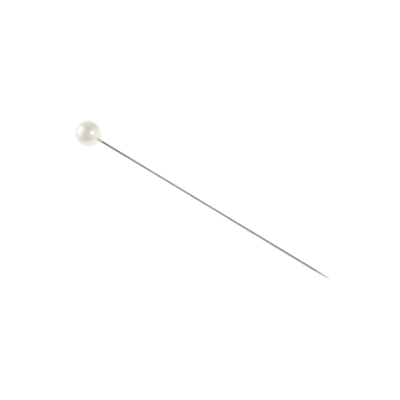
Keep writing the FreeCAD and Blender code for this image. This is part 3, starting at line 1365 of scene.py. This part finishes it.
@dataclass
class Fixing(SubAssembly):
    """What holds the bead: the collar, and the cement in it and in the bore.

    Attributes:
        mouth: where the bead's mouth lies along the axis, in millimetres like every size here.
        film: the cement between bead and collar.
        length: the collar, from its rim to the end of its neck.
        flare: the rim's radius.
        rim: width of the rim's straight edge.
        neck: radius of the neck's end.
        cup: radius of the collar's inside at the rim.
        cup_depth: depth of that inside.
        swage: the swaged ring, from the end of the neck.
        ring_section: section radius of that ring.
        ring_bite: its depth.
        ease: rounding of the collar's edges.
        trumpet_steps: steps along the collar's outside.
        jaws: jaws of the collet that swaged the neck.
        jaw_depth: the depth of their marks.
        jaw_fade: how far the marks reach along the axis, and the collar's ripple fades.
        ripple: swing of the collar's unevenness.
        ripples: how many of those to the millimetre.
        collar_crease: edges of the collar sharper than this many degrees stay sharp.
        bore: the bead's bore.
        bore_depth: its full diameter, from the mouth.
        drill_point: its conical end.
        squeeze: radius of the cement squeezed out on the bead.
        crest: where that cement's outer edge turns in to the rim, as a share of the film.
        crest_inset: how much narrower it is there.
        crest_ease: rounding of that turn.
        anchor: the shank's blunt end, below the mouth.
        chamfer: chamfer on that end.
        lump: swing of the cement's unevenness.
        lumps: how many of those to the millimetre.
        lump_fade: the length over which they fade, at the mouth and at the rim.
        cement_crease: edges of the cement sharper than this many degrees stay sharp.
        merge: points closer than this are one.
        sides: faces in one turn.
    """

    mouth: float
    film: float = 0.05
    length: float = 1.6
    flare: float = 0.6
    rim: float = 0.1
    neck: float = 0.36
    cup: float = 0.48
    cup_depth: float = 0.7
    swage: float = 0.4
    ring_section: float = 0.14
    ring_bite: float = 0.04
    ease: float = 0.025
    trumpet_steps: int = 90
    jaws: int = 4
    jaw_depth: float = 0.018
    jaw_fade: float = 0.22
    ripple: float = 0.002
    ripples: float = 2.5
    collar_crease: float = 40.0
    bore: float = 0.45
    bore_depth: float = 5.5
    drill_point: float = 0.27
    squeeze: float = 0.67
    crest: float = 0.3
    crest_inset: float = 0.02
    crest_ease: float = 0.012
    anchor: float = 5.2
    chamfer: float = 0.08
    lump: float = 0.012
    lumps: float = 1.6
    lump_fade: float = 0.01
    cement_crease: float = 50.0
    merge: float = 0.0005
    sides: int = 96

    @property
    def seat(self) -> float:
        """Where the collar's rim lies along the axis."""
        return self.mouth + self.film

    @property
    def neck_end(self) -> float:
        """Where the collar's neck ends along the axis."""
        return self.seat + self.length

    @property
    def swage_station(self) -> float:
        """Where the swaged ring lies along the axis."""
        return self.neck_end - self.swage

    def collar_radius(self, x: float) -> float:
        """The outside of the collar: a trumpet arc with the swaged ring in it.

        Args:
            x: the place along the axis.

        Returns:
            The radius there.
        """
        run = self.neck_end - self.seat - self.rim
        rise = self.flare - self.neck
        sweep = (run**2 + rise**2) / (2 * rise)
        trumpet = self.neck + sweep - math.sqrt(sweep**2 - (self.neck_end - x) ** 2)
        return rolled_ring(x, self.swage_station, trumpet, self.ring_section, self.ring_bite)

    def collar_outline(self) -> Outline:
        """Draws the collar's half-section.

        Returns:
            The outline, from the inside of the cup round the rim to the neck's bore.
        """
        wire = self.line.wire_radius
        rim_end = self.seat + self.rim
        flank = rim_end + self.rim
        outline = Outline(self.seat + self.cup_depth, wire)
        outline.corner(self.seat, self.cup, (self.seat, self.flare), self.ease)
        outline.corner(self.seat, self.flare, (rim_end, self.flare), self.ease)
        outline.corner(rim_end, self.flare, (flank, self.collar_radius(flank)), self.ease)
        outline.follow(self.collar_radius, flank, self.neck_end - self.ease, self.trumpet_steps)
        outline.corner(self.neck_end, self.neck, (self.neck_end, wire), self.ease)
        return outline.line(self.neck_end, wire)

    def collar(self, tree: Tree, finish: Material) -> Piece:
        """Builds the collar.

        Args:
            tree: the turned piece tree.
            finish: the collar's material.

        Returns:
            The piece.
        """
        values = {
            "Sides": self.sides,
            "Merge Distance": self.merge,
            "Ripple Start": self.seat,
            "Ripple Stop": self.neck_end,
            "Ripple Height": self.ripple,
            "Ripples To The Millimetre": self.ripples,
            "Jaw Marks": self.jaws,
            "Jaw Depth": self.jaw_depth,
            "Jaw Station": self.swage_station,
            "Fade Length": self.jaw_fade,
            "Finish": finish,
        }
        start = self.collar_outline().mesh("collar_outline", closed=True)
        return self.turned("swaged_collar", CadNode.COLLAR, tree, values, start, self.collar_crease)

    def cement_outline(self) -> Outline:
        """Draws the cement's half-section.

        Returns:
            The outline, from the end of the bore round the wire's end.
        """
        wire = self.line.wire_radius
        bore_end = self.mouth - self.bore_depth
        blunt_end = self.mouth - self.anchor
        crest = (self.seat - self.crest * self.film, self.squeeze - self.crest_inset)
        outline = Outline(bore_end - self.drill_point, 0.0)
        outline.line(bore_end, self.bore).line(self.mouth, self.bore)
        outline.line(self.mouth, self.squeeze)
        outline.corner(*crest, (self.seat, self.flare), self.crest_ease)
        outline.line(self.seat, self.flare).line(self.seat, self.cup)
        outline.line(self.seat + self.cup_depth, wire).line(blunt_end + self.chamfer, wire)
        return outline.line(blunt_end, wire - self.chamfer).line(blunt_end, 0.0)

    def cement(self, tree: Tree, finish: Material) -> Piece:
        """Builds the cement.

        Args:
            tree: the turned piece tree.
            finish: the cement's material.

        Returns:
            The piece.
        """
        values = {
            "Sides": self.sides,
            "Merge Distance": self.merge,
            "Ripple Height": self.lump,
            "Ripples To The Millimetre": self.lumps,
            "Ripple Start": self.mouth - self.lump_fade,
            "Ripple Stop": self.seat + self.lump_fade,
            "Fade Length": self.lump_fade,
            "Finish": finish,
        }
        start = self.cement_outline().mesh("cement_outline")
        return self.turned("cement_plug", CadNode.CEMENT, tree, values, start, self.cement_crease)


@dataclass
class Shank(SubAssembly):
    """The drawn wire of the pin, with its ground point.

    Attributes:
        blunt_end: where the wire starts in the bead, in millimetres like every size here.
        neck_end: where it leaves the collar.
        waist_station: the middle of the waist that the collar is swaged into.
        waist_section: section radius of that waist.
        chamfer: chamfer on the blunt end.
        nose: rounding of the tip.
        ring_first: first ring that keys the cement, from the blunt end.
        ring_pitch: spacing of those rings.
        ring_section: their section radius.
        ring_bite: their depth.
        rings: their number.
        merge: points closer than this are one.
        crease: edges sharper than this many degrees stay sharp.
        sides: faces in one turn.
        anchor_stations: stations from the blunt end to the neck's end.
        bare_stations: stations from there to the shoulder.
        point_stations: stations of the point.
        point_ease: how much those draw together towards the tip.
    """

    blunt_end: float
    neck_end: float
    waist_station: float
    waist_section: float = 1.5
    chamfer: float = 0.08
    nose: float = 0.03
    ring_first: float = 0.6
    ring_pitch: float = 0.65
    ring_section: float = 0.14
    ring_bite: float = 0.04
    rings: int = 6
    merge: float = 0.0004
    crease: float = 40.0
    sides: int = 64
    anchor_stations: int = 280
    bare_stations: int = 75
    point_stations: int = 72
    point_ease: float = 2.0

    def build(self, finish: Material) -> Piece:
        """Builds the shank.

        Args:
            finish: the shank's material.

        Returns:
            The piece.
        """
        values = {
            "Blunt End": self.blunt_end,
            "Neck End": self.neck_end,
            "Shoulder": self.line.shoulder,
            "Tip": self.line.tip,
            "Wire Radius": self.line.wire_radius,
            "Chamfer": self.chamfer,
            "Nose Radius": self.nose,
            "First Ring": self.blunt_end + self.ring_first,
            "Ring Pitch": self.ring_pitch,
            "Ring Section": self.ring_section,
            "Ring Bite": self.ring_bite,
            "Waist Station": self.waist_station,
            "Waist Section": self.waist_section,
            "Merge Distance": self.merge,
            "Rings": self.rings,
            "Sides": self.sides,
            "Anchor Stations": self.anchor_stations,
            "Bare Stations": self.bare_stations,
            "Point Stations": self.point_stations,
            "Point Ease": self.point_ease,
            "Finish": finish,
        }
        start = bpy.data.meshes.new("shank_start")
        return self.turned("drawn_shank", CadNode.SHANK, drawn_wire_tree(), values, start, self.crease)


@dataclass(frozen=True)
class Lamp:
    """One soft lamp, far enough away to light the whole floor evenly.

    Attributes:
        name: what it is.
        towards: direction from the pin to the lamp, in the row's frame.
        spread: how wide it looks from the pin, in degrees.
        strength: its irradiance, in watts to the square metre.
        colour: its colour.
    """

    name: str
    towards: Direction
    spread: float
    strength: float
    colour: Colour

    def build(self) -> None:
        """Adds the lamp to the scene."""
        light = bpy.data.lights.new(self.name, "SUN")
        light.angle = math.radians(self.spread)
        light.energy = self.strength
        light.color = self.colour
        lamp = bpy.data.objects.new(self.name, light)
        lamp.rotation_euler = Vector(self.towards).to_track_quat("Z", "Y").to_euler()
        lamp.visible_glossy = False
        bpy.context.scene.collection.objects.link(lamp)


@dataclass(frozen=True)
class Glow:
    """A soft-edged bright patch of the room, as polished things mirror it.

    Attributes:
        towards: direction from the pin to the patch's middle, in the row's frame.
        strength: how much it adds to the room there.
        tightness: how fast it fades away from there.
    """

    towards: Direction
    strength: float
    tightness: float

    def level(self, graph: Graph, direction: Value) -> Value:
        """How much the patch adds in a direction.

        Args:
            graph: the room's graph.
            direction: the direction looked in.

        Returns:
            The added level.
        """
        facing = graph.most(graph.dot(direction, self.towards), 0.0)
        return graph.maths("POWER", facing, self.tightness) * self.strength


@dataclass(frozen=True)
class Studio:
    """A plain pale floor, soft lamps, the room's own light and the camera.

    Attributes:
        lamps: the soft lamps.
        glows: the bright patches that mirror in the pin.
        backdrop: what the camera sees past the floor.
        wash: the even light that falls on everything.
        dusk: what mirrors away from every glow.
        daylight: the glows' colour.
        floor_half: half the floor's width, in metres.
        azimuth: the camera's direction round the pin, in degrees, 0 looking along +Y.
        elevation: its height above the floor's plane, in degrees.
        lens: its focal length, in millimetres.
        frame_width: what it takes in across at the pin, in metres.
        clip_start: the nearest that it sees, in metres.
        shift_right: how far right of the pin's middle it aims, in metres.
        shift_up: how far above that middle it aims, in metres.
    """

    lamps: tuple[Lamp, ...] = (
        Lamp("window", (-0.904, -0.253, 0.344), 60.0, 0.6, (1.0, 0.99, 0.97)),
        Lamp("lamp", (0.745, 0.007, 0.667), 40.0, 0.25, (1.0, 0.99, 0.98)),
    )
    glows: tuple[Glow, ...] = (
        Glow((-0.636, -0.372, 0.677), 0.5, 16.0),
        Glow((-0.935, -0.2, 0.29), 0.42, 9.0),
        Glow((-0.318, -0.46, 0.829), 0.1, 16.0),
        Glow((-0.84, -0.53, 0.08), 1.05, 4.0),
        Glow((0.745, 0.007, 0.667), 1.55, 26.0),
        Glow((0.87, 0.46, 0.18), 0.6, 3.5),
        Glow((-0.563, 0.82, 0.1), 0.45, 4.0),
        Glow((0.565, -0.82, 0.1), 0.12, 3.0),
    )
    backdrop: Colour = (1.0, 1.0, 1.0)
    wash: Colour = (0.98, 0.98, 0.98)
    dusk: Colour = (0.4, 0.395, 0.38)
    daylight: Colour = (1.0, 0.995, 0.98)
    floor_half: float = 3.0
    azimuth: float = 34.6
    elevation: float = 56.0
    lens: float = 135.0
    frame_width: float = 0.11556
    clip_start: float = 0.01
    shift_right: float = 0.00001
    shift_up: float = -0.0008

    def build(self) -> None:
        """Adds the floor, the lamps, the room's light and the camera."""
        self._floor()
        for lamp in self.lamps:
            lamp.build()
        self._room()
        self._camera()
        bpy.context.scene.view_settings.view_transform = "Standard"

    def _floor(self) -> None:
        """Lays the floor under the pin."""
        half = self.floor_half
        corners = [(-half, -half, 0.0), (half, -half, 0.0), (half, half, 0.0), (-half, half, 0.0)]
        mesh = bpy.data.meshes.new("floor")
        mesh.from_pydata(corners, [], [(0, 1, 2, 3)])
        mesh.materials.append(PaperFloor().material())
        floor = bpy.data.objects.new("floor", mesh)
        bpy.context.scene.collection.objects.link(floor)

    def _room(self) -> None:
        """Makes the room's own light: an even wash, and the glows that polished things mirror."""
        world = bpy.data.worlds.new("room")
        world.use_nodes = True
        world.cycles.sampling_method = "NONE"
        bpy.context.scene.world = world
        graph = Graph(world.node_tree)
        direction = graph.add("ShaderNodeTexCoord", output="Generated")
        level = sum(glow.level(graph, direction) for glow in self.glows)
        mirrored = graph.vectors("ADD", graph.scaled(self.daylight, level), self.dusk)
        diffuse = graph.add("ShaderNodeLightPath", output="Is Diffuse Ray")
        seen = graph.add("ShaderNodeLightPath", output="Is Camera Ray")
        lit = graph.blend(diffuse, mirrored, self.wash)
        background = world.node_tree.nodes["Background"]
        graph.feed(background.inputs["Color"], graph.blend(seen, lit, self.backdrop))

    def _camera(self) -> None:
        """Sets the camera up."""
        turn, tilt = math.radians(self.azimuth), math.radians(self.elevation)
        reach = math.cos(tilt)
        back = Vector((math.sin(turn) * reach, -math.cos(turn) * reach, math.sin(tilt)))
        right = Vector((math.cos(turn), math.sin(turn), 0.0))
        up = back.cross(right)
        data = bpy.data.cameras.new("camera")
        data.lens = self.lens
        data.clip_start = self.clip_start
        aim = (CAD_BOX[0] + CAD_BOX[1]) / 2 + right * self.shift_right + up * self.shift_up
        camera = bpy.data.objects.new("camera", data)
        camera.location = aim + back * (self.frame_width * self.lens / data.sensor_width)
        camera.rotation_euler = back.to_track_quat("Z", "Y").to_euler()
        bpy.context.scene.collection.objects.link(camera)
        bpy.context.scene.camera = camera


@dataclass
class HatPin:
    """The whole pin.

    Attributes:
        line: the pin's axis.
        effects: the shared shader groups.
        turned: the turned piece tree.
        darkened_reach: how far past the collar the wire is fully darkened, in millimetres.
        darkening_reach: how far past it the darkening has gone.
    """

    line: PinLine = field(default_factory=PinLine.from_frame)
    effects: SharedEffects = field(default_factory=SharedEffects)
    turned: Tree = field(default_factory=turned_piece_tree)
    darkened_reach: float = 5.0
    darkening_reach: float = 21.0

    def build(self) -> list[Piece]:
        """Builds and dresses every piece.

        Returns:
            The pieces, in the order in which they were made.
        """
        bead = Bead(self.line)
        fixing = Fixing(self.line, bead.mouth)
        neck = fixing.neck_end
        shank = Shank(self.line, bead.mouth - fixing.anchor, neck, fixing.swage_station)
        lacquer = PearlLacquer()
        plastic = MouldedPlastic(self.line.centre)
        metal = CollarMetal(fixing.swage_station, neck)
        steel = NickelledSteel(neck + self.darkened_reach, neck + self.darkening_reach, self.line.shoulder)
        return [
            bead.skin(self.turned, lacquer.material(self.effects)),
            bead.dress_core(plastic.material(self.effects)),
            fixing.collar(self.turned, metal.material(self.effects)),
            fixing.cement(self.turned, CuredCement().material(self.effects)),
            shank.build(steel.material(self.effects)),
        ]


def main() -> None:
    """Builds the pin and the studio, and reports each piece."""
    logging.basicConfig(level=logging.INFO, format="%(name)s: %(message)s")
    for piece in HatPin().build():
        faces = len(piece.data.polygons)
        log.info("%s: %d faces, finish %s", piece.name, faces, piece.data.materials[0].name)
    Studio().build()


if __name__ == "__main__":
    main()
